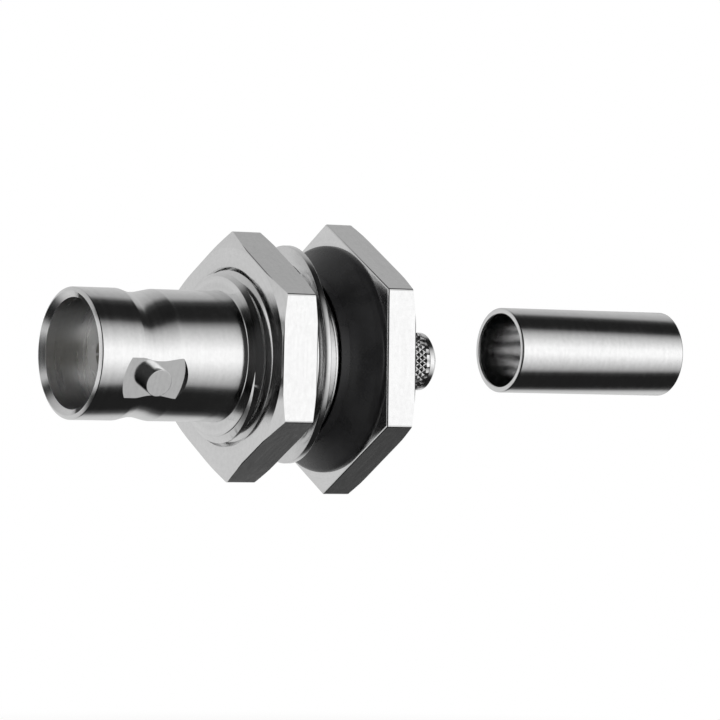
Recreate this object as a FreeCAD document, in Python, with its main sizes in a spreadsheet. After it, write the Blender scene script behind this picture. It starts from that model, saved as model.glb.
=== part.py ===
import FreeCAD, Part
import math
import os
import re
import Sketcher

# Bulkhead coaxial jack with a bayonet mouth at one end and a crimp stem at the other.
# Millimetres and degrees. The origin is the centre of the mouth, +X runs along the axis
# towards the cable and +Z is up. Turns about the axis are measured from the -Y side upwards.

SIZES = {
    # Shell: mouth and barrel
    "barrel_dia": (9.6, "standard outer diameter of the bayonet barrel"),
    "barrel_len": (12.2, "mouth to the face where the thread begins"),
    "mouth_dia": (9.0, "ring edge at the very front"),
    "mouth_bevel": (0.17, "length of the bevel outside the mouth"),
    "mouth_lead": (0.35, "length of the lead-in inside the mouth"),
    "port_dia": (8.1, "bore that takes the plug"),
    "port_depth": (9.2, "mouth to the floor of that bore"),
    "root_bevel": (0.13, "small cone where the barrel meets the thread"),
    # Shell: waist and bayonet lugs
    "waist_x": (3.9, "where the waist begins"),
    "waist_drop": (0.7, "length of the waist's front slope"),
    "waist_floor": (0.65, "length of the waist's straight floor"),
    "waist_rise": (1.25, "length of the waist's rear slope"),
    "waist_depth": (0.28, "how far the waist lies under the barrel"),
    "lug_x": (4.62, "centre of the lugs"),
    "lug_dia": (2.0, "diameter of a lug"),
    "lug_reach": (5.5, "axis to the tip of a lug"),
    "lug_bevel": (0.12, "bevel round a lug's tip"),
    "lug_turn": (-22.8, "turn of the near lug"),
    "spot_dia": (5.26, "round milled spot about each lug"),
    "spot_depth": (0.31, "how far the spot lies under the barrel"),
    "spot_shift": (0.1, "spot centre behind the lug centre"),
    # Shell: thread, neck and hexagonal flange
    "thread_dia": (12.7, "major diameter of the thread"),
    "thread_len": (6.82, "length of the thread"),
    "thread_bevel": (0.42, "length of the bevel at the start of the thread"),
    "thread_start": (0.45, "height of that bevel"),
    "neck_dia": (12.4, "plain neck behind the thread"),
    "neck_len": (2.67, "length of the neck"),
    "flange_across": (17.4, "flange across its flats"),
    "flange_len": (2.48, "thickness of the flange"),
    "flange_bevel": (0.31, "how far the bevel comes down a flange corner"),
    # Shell: inside
    "lip_len": (1.6, "wall between the port and the rear bore"),
    "seat_dia": (7.2, "rear bore for the insulator and the stem"),
    # Insulator and contact
    "insulator_len": (6.2, "length of the insulator's body"),
    "nose_dia": (4.8, "diameter of the insulator's nose"),
    "nose_len": (5.2, "length of the nose in front of the body"),
    "contact_x": (2.9, "mouth to the tip of the contact"),
    "contact_dia": (2.4, "diameter of the contact"),
    "contact_bevel": (0.15, "bevel round the contact's tip"),
    "socket_dia": (1.36, "hole for the plug's pin"),
    "socket_depth": (5.0, "depth of that hole"),
    "slit_width": (0.2, "width of the slits in the contact"),
    "slit_len": (3.8, "length of the slits"),
    "collar_depth": (1.5, "front of the insulator's body to the collar"),
    "collar_dia": (3.94, "diameter of the contact's collar"),
    "collar_len": (1.0, "length of the collar"),
    "cup_dia": (2.0, "outside of the cup for the wire"),
    "cup_len": (3.4, "length of that cup"),
    "wire_dia": (1.05, "hole for the wire"),
    "wire_depth": (2.8, "depth of the hole for the wire"),
    # Crimp stem and ferrule
    "stem_dia": (4.44, "tail of the stem"),
    "stem_len": (6.1, "length of the tail"),
    "stem_bore": (3.2, "hole for the cable's core"),
    "stem_bevel": (0.18, "bevels of the stem"),
    "ferrule_dia": (6.44, "outside of the crimp sleeve"),
    "ferrule_bore": (5.55, "bore of the crimp sleeve"),
    "ferrule_len": (15.0, "length of the crimp sleeve"),
    "ferrule_bevel": (0.1, "bevels at the ends of the sleeve"),
    "ferrule_gap": (7.12, "tail of the stem to the sleeve, which is slipped off"),
    "ferrule_rise": (1.0, "height of the sleeve over the axis"),
    # Nut, washer and sealing ring
    "nut_across": (16.0, "nut across its flats"),
    "nut_len": (3.0, "thickness of the nut"),
    "nut_bevel": (0.36, "how far the bevels come down a nut corner"),
    "nut_setback": (0.97, "start of the thread to the nut"),
    "nut_turn": (-1.17, "turn of the nut"),
    "nut_lead": (0.3, "bevel at the mouths of the nut's bore"),
    "washer_dia": (16.1, "outside of the washer"),
    "washer_thick": (0.5, "thickness of the washer"),
    "washer_play": (0.45, "room between the washer and the thread all round"),
    "washer_gap": (1.88, "nut to the middle of the washer"),
    "washer_rise": (0.27, "height of the washer over the axis"),
    "washer_tilt": (8.98, "lean of the washer"),
    "washer_swing": (7.9, "turn of the line that the washer leans about"),
    "washer_edge": (0.06, "bevel on the washer's outer edges"),
    "ring_len": (1.82, "length of the sealing ring"),
    "ring_inset": (0.29, "flats of the flange to the outside of the sealing ring"),
    "ring_front": (0.1, "width of the flat that the panel rests on"),
    "ring_shoulder": (0.52, "flange to the end of the ring's slope"),
    "ring_round": (0.21, "height of the rounding at the ring's rim"),
    # Fits, all on the radius
    "run_gap": (0.05, "running gap between thread and nut"),
    "fit_gap": (0.03, "gap of pieces that are slid together"),
}

BEVEL_ANGLE = 30

FLANGE_X = "(barrel_len + thread_len + neck_len)"
FLANGE_END = f"({FLANGE_X} + flange_len)"
BODY_X = "(port_depth + lip_len)"
STEM_X = f"({BODY_X} + insulator_len)"
STEM_END = f"({FLANGE_END} + stem_len)"
NUT_X = "(barrel_len + nut_setback)"
COLLAR_X = f"({BODY_X} + collar_depth)"
LUG_ANGLE = "(90 - lug_turn)"

doc = FreeCAD.newDocument("coaxial_jack")
sheet = doc.addObject("Spreadsheet::Sheet", "sizes")
for row, (alias, (number, meaning)) in enumerate(SIZES.items(), start=1):
    sheet.set(f"A{row}", alias)
    sheet.set(f"B{row}", str(number))
    sheet.set(f"C{row}", meaning)
    sheet.setAlias(f"B{row}", alias)
doc.recompute()


def linked(formula):
    """The formula with every size in it read from the sheet."""
    return re.sub(r"[a-z_]+", lambda word: f"sizes.{word[0]}" if word[0] in SIZES else word[0], formula)


def number_of(formula):
    """What a formula comes to now."""
    return float(sheet.evalExpression(linked(formula)))


def bind(thing, path, formula):
    thing.setExpression(path, linked(formula))


def new_body(name):
    body = doc.addObject("PartDesign::Body", name)
    body.Label = name
    return body


def new_sketch(body, name, plane):
    """A sketch on one of the body's own origin planes."""
    sketch = body.newObject("Sketcher::SketchObject", name)
    face = [feature for feature in body.Origin.OriginFeatures if feature.Role == plane][0]
    sketch.AttachmentSupport = (face, "")
    sketch.MapMode = "FlatFace"
    return sketch


def fix_point(sketch, line, formulas):
    """Ties the start of a line to its two coordinates."""
    for kind, axis, formula in (("DistanceX", -2, formulas[0]), ("DistanceY", -1, formulas[1])):
        if formula == "0":
            sketch.addConstraint(Sketcher.Constraint("PointOnObject", line, 1, axis))
            continue
        rule = Sketcher.Constraint(kind, -1, 1, line, 1, number_of(formula))
        index = sketch.addConstraint(rule)
        bind(sketch, f"Constraints[{index}]", formula)


def draw_outline(sketch, corners):
    """A closed outline through corners, each a pair of formulas."""
    places = [FreeCAD.Vector(number_of(x), number_of(y), 0) for x, y in corners]
    count = len(corners)
    for line in range(count):
        sketch.addGeometry(Part.LineSegment(places[line], places[(line + 1) % count]), False)
    for line in range(count):
        sketch.addConstraint(Sketcher.Constraint("Coincident", line, 2, (line + 1) % count, 1))
    for line, formulas in enumerate(corners):
        fix_point(sketch, line, formulas)


def draw_circle(sketch, x, radius):
    """A circle centred on the sketch's horizontal axis."""
    shape = Part.Circle(FreeCAD.Vector(number_of(x), 0, 0), FreeCAD.Vector(0, 0, 1), number_of(radius))
    circle = sketch.addGeometry(shape, False)
    sketch.addConstraint(Sketcher.Constraint("PointOnObject", circle, 3, -1))
    place = sketch.addConstraint(Sketcher.Constraint("DistanceX", -1, 1, circle, 3, number_of(x)))
    size = sketch.addConstraint(Sketcher.Constraint("Radius", circle, number_of(radius)))
    bind(sketch, f"Constraints[{place}]", x)
    bind(sketch, f"Constraints[{size}]", radius)


def turned(body, name, corners, kind="PartDesign::Revolution"):
    """A profile of (x, radius) corners turned about the body's X axis."""
    sketch = new_sketch(body, f"{name}_profile", "XZ_Plane")
    draw_outline(sketch, corners)
    feature = body.newObject(kind, name)
    feature.Profile = sketch
    feature.ReferenceAxis = (sketch, ["H_Axis"])
    feature.Angle = 360
    sketch.Visibility = False
    return feature


def turned_away(body, name, corners):
    """The same profile cut out of the body. It stops if nothing is cut."""
    doc.recompute()
    before = body.Shape.Volume
    feature = turned(body, name, corners, "PartDesign::Groove")
    doc.recompute()
    if body.Shape.Volume >= before:
        raise RuntimeError(f"{name} cuts nothing")
    return feature


def hexagon(body, name, across, x, length):
    """A hexagonal prism with a corner up, from x over its length."""
    half = f"({across} / 2)"
    side = f"({across} / 2 * tan({BEVEL_ANGLE}))"
    tip = f"(2 * {side})"
    corners = [("0", tip), (f"-{half}", side), (f"-{half}", f"-{side}")]
    corners += [("0", f"-{tip}"), (half, f"-{side}"), (half, side)]
    sketch = new_sketch(body, f"{name}_outline", "YZ_Plane")
    draw_outline(sketch, corners)
    bind(sketch, "AttachmentOffset.Base.z", x)
    pad = body.newObject("PartDesign::Pad", name)
    pad.Profile = sketch
    bind(pad, "Length", length)
    sketch.Visibility = False
    return pad


def corner_bevel(body, name, across, x, drop, outward):
    """Turns a bevel on a hexagon's corners at its face x. Outward is +1 for a rear face."""
    tip = f"({across} / 2 / cos({BEVEL_ANGLE}))"
    spare = f"({drop} / tan({BEVEL_ANGLE}))"
    sign = "-" if outward > 0 else "+"
    start = (x, f"{tip} - {spare}")
    corners = [start, (f"{x} {sign} 2 * {drop}", f"{tip} + {spare}"), (x, f"{tip} + {spare}")]
    return turned_away(body, name, corners)


def lug_plane(sketch, height):
    """Turns a sketch on the XY plane to face the near lug, at a height over the axis."""
    sketch.AttachmentOffset = FreeCAD.Placement(
        FreeCAD.Vector(0, 0, 0), FreeCAD.Rotation(FreeCAD.Vector(1, 0, 0), number_of(LUG_ANGLE)))
    bind(sketch, "AttachmentOffset.Rotation.Angle", LUG_ANGLE)
    if height != "0":
        bind(sketch, "AttachmentOffset.Base.y", f"-{height} * sin{LUG_ANGLE}")
        bind(sketch, "AttachmentOffset.Base.z", f"{height} * cos{LUG_ANGLE}")


def patterned(body, name, original, count, angle):
    """Repeats a feature about the body's X axis."""
    pattern = body.newObject("PartDesign::PolarPattern", name)
    pattern.Originals = [original]
    pattern.Axis = ([feature for feature in body.Origin.OriginFeatures if feature.Role == "X_Axis"][0], [""])
    pattern.Angle = angle
    pattern.Occurrences = count
    body.Tip = pattern
    return pattern


def outer_shell(body):
    """Barrel with its waist, thread and neck, as one turned form."""
    barrel = "barrel_dia / 2"
    waist = "barrel_dia / 2 - waist_depth"
    back = "waist_x + waist_drop + waist_floor"
    thread = "thread_dia / 2"
    turned(body, "barrel_and_thread", [
        ("0", "0"),
        ("0", "mouth_dia / 2"),
        ("mouth_bevel", barrel),
        ("waist_x", barrel),
        ("waist_x + waist_drop", waist),
        (back, waist),
        (f"{back} + waist_rise", barrel),
        ("barrel_len - root_bevel", barrel),
        ("barrel_len", f"{barrel} + root_bevel"),
        ("barrel_len", f"{thread} - thread_start"),
        ("barrel_len + thread_bevel", thread),
        ("barrel_len + thread_len", thread),
        ("barrel_len + thread_len", "neck_dia / 2"),
        (FLANGE_X, "neck_dia / 2"),
        (FLANGE_X, "0"),
    ])


def milled_spots(body):
    """Round flats that are milled on the barrel where the lugs stand."""
    sketch = new_sketch(body, "spot_circle", "XY_Plane")
    draw_circle(sketch, "lug_x + spot_shift", "spot_dia / 2")
    lug_plane(sketch, "(barrel_dia / 2 - spot_depth)")
    doc.recompute()
    before = body.Shape.Volume
    pocket = body.newObject("PartDesign::Pocket", "spot")
    pocket.Profile = sketch
    pocket.Reversed = True
    bind(pocket, "Length", "2 * spot_depth")
    doc.recompute()
    if body.Shape.Volume >= before:
        raise RuntimeError("the milled spot cuts nothing")
    patterned(body, "spots", pocket, 2, 360)


def lugs(body):
    """A pin right across the barrel, whose two ends are the bayonet lugs."""
    for name, radius, reach in (
            ("lug_pin", "lug_dia / 2", "lug_reach - lug_bevel"),
            ("lug_tip", "lug_dia / 2 - lug_bevel", "lug_reach")):
        sketch = new_sketch(body, f"{name}_circle", "XY_Plane")
        draw_circle(sketch, "lug_x", radius)
        lug_plane(sketch, "0")
        pad = body.newObject("PartDesign::Pad", name)
        pad.Profile = sketch
        pad.Midplane = True
        bind(pad, "Length", f"2 * ({reach})")


def shell_bores(body):
    """Port at the front, lip, and the rear bore for insulator and stem."""
    turned_away(body, "bores", [
        ("0", "0"),
        ("0", "mouth_dia / 2"),
        ("mouth_lead", "port_dia / 2"),
        ("port_depth", "port_dia / 2"),
        ("port_depth", "nose_dia / 2 + fit_gap"),
        (BODY_X, "nose_dia / 2 + fit_gap"),
        (BODY_X, "seat_dia / 2"),
        (FLANGE_END, "seat_dia / 2"),
        (FLANGE_END, "0"),
    ])


def make_shell():
    body = new_body("shell")
    outer_shell(body)
    doc.recompute()
    milled_spots(body)
    lugs(body)
    hexagon(body, "flange", "flange_across", FLANGE_X, "flange_len")
    corner_bevel(body, "flange_bevels", "flange_across", FLANGE_END, "flange_bevel", 1)
    shell_bores(body)
    return body


def make_insulator():
    body = new_body("insulator")
    turned(body, "bead", [
        (f"{BODY_X} - nose_len", "contact_dia / 2 + fit_gap"),
        (f"{BODY_X} - nose_len", "nose_dia / 2"),
        (BODY_X, "nose_dia / 2"),
        (BODY_X, "seat_dia / 2 - fit_gap"),
        (STEM_X, "seat_dia / 2 - fit_gap"),
        (STEM_X, "collar_dia / 2 + fit_gap"),
        (COLLAR_X, "collar_dia / 2 + fit_gap"),
        (COLLAR_X, "contact_dia / 2 + fit_gap"),
    ])
    return body


def make_contact():
    """Slit socket at the front, collar in the middle, cup for the wire at the back."""
    body = new_body("centre_contact")
    collar_end = f"{COLLAR_X} + collar_len"
    end = f"{collar_end} + cup_len"
    turned(body, "contact_form", [
        ("contact_x", "socket_dia / 2"),
        ("contact_x", "contact_dia / 2 - contact_bevel"),
        ("contact_x + contact_bevel", "contact_dia / 2"),
        (COLLAR_X, "contact_dia / 2"),
        (COLLAR_X, "collar_dia / 2"),
        (collar_end, "collar_dia / 2"),
        (collar_end, "cup_dia / 2"),
        (end, "cup_dia / 2"),
        (end, "wire_dia / 2"),
        (f"{end} - wire_depth", "wire_dia / 2"),
        (f"{end} - wire_depth", "0"),
        ("contact_x + socket_depth", "0"),
        ("contact_x + socket_depth", "socket_dia / 2"),
    ])
    sketch = new_sketch(body, "slit_outline", "XZ_Plane")
    half = "slit_width / 2"
    draw_outline(sketch, [
        ("contact_x - slit_width", f"-{half}"), ("contact_x + slit_len", f"-{half}"),
        ("contact_x + slit_len", half), ("contact_x - slit_width", half)])
    doc.recompute()
    before = body.Shape.Volume
    slit = body.newObject("PartDesign::Pocket", "slit")
    slit.Profile = sketch
    slit.Midplane = True
    bind(slit, "Length", "2 * contact_dia")
    doc.recompute()
    if body.Shape.Volume >= before:
        raise RuntimeError("the slit cuts nothing")
    patterned(body, "slits", slit, 2, 90)
    return body


def make_stem():
    """Plug that is pressed into the shell, with the tail that the braid is crimped on."""
    body = new_body("crimp_stem")
    tail = "stem_dia / 2"
    bore = "stem_bore / 2"
    turned(body, "stem_form", [
        (STEM_X, bore),
        (STEM_X, "seat_dia / 2"),
        (FLANGE_END, "seat_dia / 2"),
        (FLANGE_END, tail),
        (f"{STEM_END} - stem_bevel", tail),
        (STEM_END, f"{tail} - stem_bevel"),
        (STEM_END, f"{bore}"),
    ])
    return body


def make_ring():
    """Moulded sealing ring with a sloping front, slipped over the thread to the flange."""
    body = new_body("sealing_ring")
    hole = "thread_dia / 2 + fit_gap"
    rim = "flange_across / 2 - ring_inset"
    turned(body, "ring_form", [
        (f"{FLANGE_X} - ring_len", hole),
        (f"{FLANGE_X} - ring_len", f"{hole} + ring_front"),
        (f"{FLANGE_X} - ring_shoulder", f"{rim} - ring_round"),
        (f"{FLANGE_X} - ring_shoulder / 2", rim),
        (FLANGE_X, rim),
        (FLANGE_X, hole),
    ])
    return body


def make_washer():
    """Flat washer that hangs loose on the thread and leans."""
    body = new_body("washer")
    rim = "washer_dia / 2"
    hole = "thread_dia / 2 + washer_play"
    turned(body, "washer_form", [
        ("0", hole),
        ("0", f"{rim} - washer_edge"),
        ("washer_edge", rim),
        ("washer_thick - washer_edge", rim),
        ("washer_thick", f"{rim} - washer_edge"),
        ("washer_thick", hole),
    ])
    swing = math.radians(number_of("washer_swing"))
    lean_line = FreeCAD.Vector(0, -math.sin(swing), -math.cos(swing))
    body.Placement.Rotation = FreeCAD.Rotation(lean_line, number_of("washer_tilt"))
    bind(body, "Placement.Base.x", f"{NUT_X} + nut_len + washer_gap")
    bind(body, "Placement.Base.z", "washer_rise")
    return body


def make_nut():
    """Hexagonal nut with both faces bevelled. The bore stands for its thread."""
    body = new_body("hex_nut")
    hexagon(body, "prism", "nut_across", "0 * nut_len", "nut_len")
    doc.recompute()
    corner_bevel(body, "front_bevels", "nut_across", "0 * nut_len", "nut_bevel", -1)
    corner_bevel(body, "rear_bevels", "nut_across", "nut_len", "nut_bevel", 1)
    hole = "thread_dia / 2 + run_gap"
    turned_away(body, "nut_bore", [
        ("0", "0"),
        ("0", f"{hole} + nut_lead"),
        ("nut_lead", hole),
        ("nut_len - nut_lead", hole),
        ("nut_len", f"{hole} + nut_lead"),
        ("nut_len", "0"),
    ])
    body.Placement.Rotation = FreeCAD.Rotation(FreeCAD.Vector(-1, 0, 0), number_of("nut_turn"))
    bind(body, "Placement.Base.x", NUT_X)
    return body


def make_ferrule():
    """Plain sleeve that is crimped over the braid and the stem's tail."""
    body = new_body("crimp_ferrule")
    rim = "ferrule_dia / 2"
    bore = "ferrule_bore / 2"
    turned(body, "sleeve", [
        ("0", f"{bore} + ferrule_bevel"),
        ("0", f"{rim} - ferrule_bevel"),
        ("ferrule_bevel", rim),
        ("ferrule_len - ferrule_bevel", rim),
        ("ferrule_len", f"{rim} - ferrule_bevel"),
        ("ferrule_len", f"{bore} + ferrule_bevel"),
        ("ferrule_len - ferrule_bevel", bore),
        ("ferrule_bevel", bore),
    ])
    bind(body, "Placement.Base.x", f"{STEM_END} + ferrule_gap")
    bind(body, "Placement.Base.z", "ferrule_rise")
    return body


bodies = [make_shell(), make_insulator(), make_contact(), make_stem(), make_ring(), make_washer()]
bodies += [make_nut(), make_ferrule()]
doc.recompute()

for thing in doc.Objects:
    if "Invalid" in thing.State or "Error" in thing.State:
        raise RuntimeError(f"{thing.Name} failed: {thing.State}")

os.makedirs("parts", exist_ok=True)
for body in bodies:
    shape = body.Shape
    if shape.isNull() or not shape.isValid() or len(shape.Solids) != 1:
        raise RuntimeError(f"{body.Label} isn't one sound solid")
    shape.exportStep(f"parts/{body.Label}.step")
    box = shape.BoundBox
    print(f"{body.Label}: {shape.Volume:.2f} mm3, x {box.XMin:.2f} to {box.XMax:.2f}, "
          f"y {box.YMin:.2f} to {box.YMax:.2f}, z {box.ZMin:.2f} to {box.ZMax:.2f}")
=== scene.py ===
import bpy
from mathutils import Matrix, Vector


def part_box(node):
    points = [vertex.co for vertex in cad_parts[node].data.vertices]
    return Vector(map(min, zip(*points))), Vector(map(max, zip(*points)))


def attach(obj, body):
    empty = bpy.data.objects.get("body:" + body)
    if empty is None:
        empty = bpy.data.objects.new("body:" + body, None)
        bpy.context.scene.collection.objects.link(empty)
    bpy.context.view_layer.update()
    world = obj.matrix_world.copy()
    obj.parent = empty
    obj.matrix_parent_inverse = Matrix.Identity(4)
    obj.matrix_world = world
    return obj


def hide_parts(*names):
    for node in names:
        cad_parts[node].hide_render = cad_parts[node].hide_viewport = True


bl_info = {
    "name": "Bayonet Bulkhead Jack",
    "version": (1, 0, 0),
    "blender": (4, 5, 0),
    "location": "3D View > Sidebar > Jack",
    "description": "Builds a plated bulkhead jack with its nut, washer, seal and crimp sleeve",
    "category": "Object",
}

import math

import bmesh
import bpy
from mathutils import Matrix, Vector

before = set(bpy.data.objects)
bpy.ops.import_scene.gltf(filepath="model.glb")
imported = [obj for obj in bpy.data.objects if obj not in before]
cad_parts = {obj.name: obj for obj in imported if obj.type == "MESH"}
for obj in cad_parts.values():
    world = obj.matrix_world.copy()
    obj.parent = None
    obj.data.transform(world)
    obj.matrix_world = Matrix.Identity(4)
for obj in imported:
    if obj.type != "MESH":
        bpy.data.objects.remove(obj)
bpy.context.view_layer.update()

# The jack's own axis is X, from the mouth towards the cable, and the middle of the jack and its
# sleeve lies 24 mm along it. Turns about the axis are measured from the -Y side upwards. Lengths
# are typed in millimetres and kept in metres.
MM = 0.001
ABOUT_AXIS = (1, 0, 0)
MIDDLE = 24 * MM
SHELL_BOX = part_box("shell")
STEM_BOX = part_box("crimp_stem")
NUT_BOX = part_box("hex_nut")
SEAL_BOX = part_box("sealing_ring")
BEAD_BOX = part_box("insulator")
CONTACT_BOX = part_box("centre_contact")
FERRULE_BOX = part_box("crimp_ferrule")

# How finely round forms, roundings and broken edges are divided, and how near is the same place.
ROUND_STEPS = 240
SMALL_ROUND_STEPS = 96
ROUNDING_SEGMENTS = 4
LUG_SEGMENTS = 3
EDGE_SEGMENTS = 2
WELD = 0.0005 * MM

# A hair's breadth past a face, how far a cutter goes past the metal it takes away, and how far
# outside the port a lug's foot begins.
HAIR = 0.02 * MM
OVERCUT = 0.4 * MM
LUG_FOOT = 0.2 * MM

# Edges sharper than this stay sharp, and on the shell and the nut edges sharper than the second.
# Then half the angle between two corners of a hexagon, and the lean of the bevel on its corners.
SMOOTH_ANGLE = math.radians(28)
FINE_SMOOTH_ANGLE = math.radians(13)
HEX_HALF_ANGLE = math.radians(30)
HEX_BEVEL_ANGLE = math.radians(15)

# The thread's form: the lean of its flanks, and its flats as shares of the pitch.
FLANK_ANGLE = math.radians(30)
CREST_FLAT = 1 / 8
ROOT_FLAT = 1 / 4

# Where most of a noise pattern's values lie.
NOISE_SPREAD = (0.3, 0.7)

# The studio round the jack's axis: degrees from the -Y side upwards, and how bright it is there.
WALLS = ((-180, 0.82), (-146, 0.8), (-136, 0.66), (-124, 0.1), (-112, 0.02), (-70, 0.02),
         (-60, 0.05), (-50, 0.5), (-20, 1.15), (-8, 1.4), (8, 1.4), (22, 1.1), (44, 0.62),
         (52, 0.36), (60, 0.04), (68, 0.02), (92, 0.02), (104, 0.07), (116, 0.5), (140, 0.68),
         (180, 0.8))

# Its two ends along the axis, from -1 on the left to 1 on the right: between which two places each
# one meets the walls, and how bright it is. Then the shade about the camera: between which two
# places it sets in towards -Y, and ends to the right, and how much of the light it takes away.
LEFT_END, LEFT_LEVEL = (-0.93, -0.8), 0.95
RIGHT_END, RIGHT_LEVEL = (0.9, 0.97), 0.08
SHADE_NEAR, SHADE_RIGHT, SHADE_LEVEL = (0.08, 0.25), (0.0, 0.35), 0.96

# Name, place, side and power of each lamp, in millimetres and watts.
LAMPS = (("key_lamp", (-80, -160, 260), 220, 0.3), ("mouth_lamp", (-240, 70, 0), 80, 0.3))

# The width of the camera's frame in millimetres, and the nearest and furthest that it sees.
SENSOR_WIDTH = 36
CLIP_START, CLIP_END = 10 * MM, 10

# The floor: its radius, its colour and roughness, the ring in which it turns plain white to the
# eye, and its own glow to the eye inside that ring.
FLOOR_RADIUS = 1.5
FLOOR_COLOUR, FLOOR_ROUGH = (0.93, 0.93, 0.93, 1), 0.9
FLOOR_FADE = (35 * MM, 75 * MM)
FLOOR_GLOW = 0.5


def length(label, millimetres, note):
    """A size that a user can change."""
    return bpy.props.FloatProperty(name=label, description=note, default=millimetres * MM,
                                   unit="LENGTH", precision=6)


def turn(label, degrees, note):
    """An angle that a user can change."""
    return bpy.props.FloatProperty(name=label, description=note, default=math.radians(degrees),
                                   subtype="ANGLE", unit="ROTATION")


def share(label, value, note):
    """A number from 0 to 1 that a user can change."""
    return bpy.props.FloatProperty(name=label, description=note, default=value, min=0, max=1,
                                   subtype="FACTOR")


def colour(label, value, note):
    """A colour that a user can change."""
    return bpy.props.FloatVectorProperty(name=label, description=note, default=value, size=3,
                                         min=0, max=1, subtype="COLOR")


def count(label, value, least, note):
    """A whole number that a user can change."""
    return bpy.props.IntProperty(name=label, description=note, default=value, min=least)


class ShellSizes(bpy.types.PropertyGroup):
    """Sizes of the turned shell."""
    barrel: length("Barrel radius", 4.8, "Outside of the bayonet barrel")
    mouth: length("Mouth edge radius", 4.5, "Ring edge at the very front")
    mouth_bevel: length("Mouth bevel", 0.17, "Length of the bevel outside the mouth")
    mouth_lead: length("Mouth lead-in", 0.35, "Length of the bevel inside the mouth")
    port: length("Port radius", 4.05, "Bore that takes the plug")
    port_depth: length("Port depth", 9.2, "Mouth to the floor of the bore")
    lip: length("Lip radius", 2.43, "Hole that the insulator's nose goes through")
    waist_start: length("Waist start", 3.6, "Where the waist begins")
    waist_drop: length("Waist drop", 0.95, "Length of the waist's front slope")
    waist_floor: length("Waist floor", 0.85, "Length of the waist's floor")
    waist_rise: length("Waist rise", 1.25, "Length of the waist's rear slope")
    waist_depth: length("Waist depth", 0.3, "Depth of the waist midway between the lugs")
    waist_side: length("Waist depth at the lugs", 0.05, "Depth of the waist beside the lugs")
    waist_round: length("Waist rounding", 0.3, "Rounding at the bottom of the waist")
    lug_place: length("Lug place", 4.62, "Mouth to the middle of the lugs")
    lug: length("Lug radius", 1.03, "Half the thickness of a lug")
    lug_reach: length("Lug reach", 5.5, "Axis to the tip of a lug")
    lug_bevel: length("Lug bevel", 0.04, "Bevel round a lug's tip")
    lug_turn: turn("Lug turn", -22.8, "Turn of the near lug")
    spot: length("Spot radius", 2.63, "Round milled spot about a lug")
    spot_depth: length("Spot depth", 0.26, "How far the spot lies under the barrel")
    spot_shift: length("Spot shift", 0.1, "Spot centre behind the lug centre")
    barrel_end: length("Barrel end", 12.2, "Mouth to the face where the thread begins")
    root_round: length("Root rounding", 0.13, "Fillet between barrel and thread")
    thread_face: length("Thread face radius", 5.9, "Rim of the flat at the start of the thread")
    thread_bevel: length("Thread bevel", 0.42, "Length of the bevel at the start of the thread")
    thread: length("Thread radius", 6.35, "Crest of the thread")
    pitch: length("Thread pitch", 25.4 / 28, "One turn of the thread")
    thread_lead: length("Thread lead", 1.3, "Start of the winding before the barrel's end")
    thread_end: length("Thread end", 19.02, "Mouth to the end of the thread")
    neck: length("Neck radius", 6.2, "Plain neck behind the thread")
    flange_front: length("Flange front", 21.69, "Mouth to the flange")
    flange_across: length("Flange across flats", 17.4, "Flange across its flats")
    flange_bevel: length("Flange bevel", 0.31, "How far the bevel comes down a corner")
    edge: length("Edge", 0.07, "Small break on every turned edge")
    hex_edge: length("Hexagon edge", 0.11, "Small break on the edges of the flange and the nut")
    seat: length("Rear bore radius", 3.6, "Bore for the insulator and the stem")
    seat_start: length("Rear bore start", 10.8, "Mouth to the start of the rear bore")


class HardwareSizes(bpy.types.PropertyGroup):
    """Sizes of the nut, the washer and the sealing ring."""
    nut_across: length("Nut across flats", 16.0, "Nut across its flats")
    nut_bevel: length("Nut bevel", 0.33, "How far the bevels come down a corner")
    nut_turn: turn("Nut turn", -1.3, "Turn of the nut")
    nut_mouth: length("Nut countersink", 6.62, "Radius of the bevels at the ends of the bore")
    nut_play: length("Thread play", 0.05, "Room between the two threads")
    washer: length("Washer radius", 8.05, "Outside of the washer")
    washer_hole: length("Washer hole", 6.8, "Inside of the washer")
    washer_thick: length("Washer thickness", 0.5, "Thickness of the washer")
    washer_place: length("Washer place", 18.05, "Mouth to the middle of the washer's front")
    washer_rise: length("Washer rise", 0.27, "Height of the washer over the axis")
    washer_tilt: turn("Washer tilt", 8.98, "Lean of the washer")
    washer_swing: turn("Washer swing", 7.9, "Turn of the line that the washer leans about")
    washer_edge: length("Washer edge", 0.08, "Rounding of the washer's rims")
    seal: length("Seal radius", 8.41, "Outside of the sealing ring")
    seal_hole: length("Seal hole", 6.38, "Inside of the sealing ring, which clears the thread")
    seal_front: length("Seal front radius", 6.48, "Rim of the flat at the front of the ring")
    seal_lip: length("Seal lip", 0.7, "Length of the thin lip in front, round the neck")
    seal_shoulder: length("Seal shoulder", 0.52, "Flange to the end of the ring's slope")
    seal_drop: length("Seal drop", 0.21, "Height of the step at the ring's rim")
    seal_round: length("Seal rounding", 0.12, "Rounding of the ring's corners")


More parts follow.
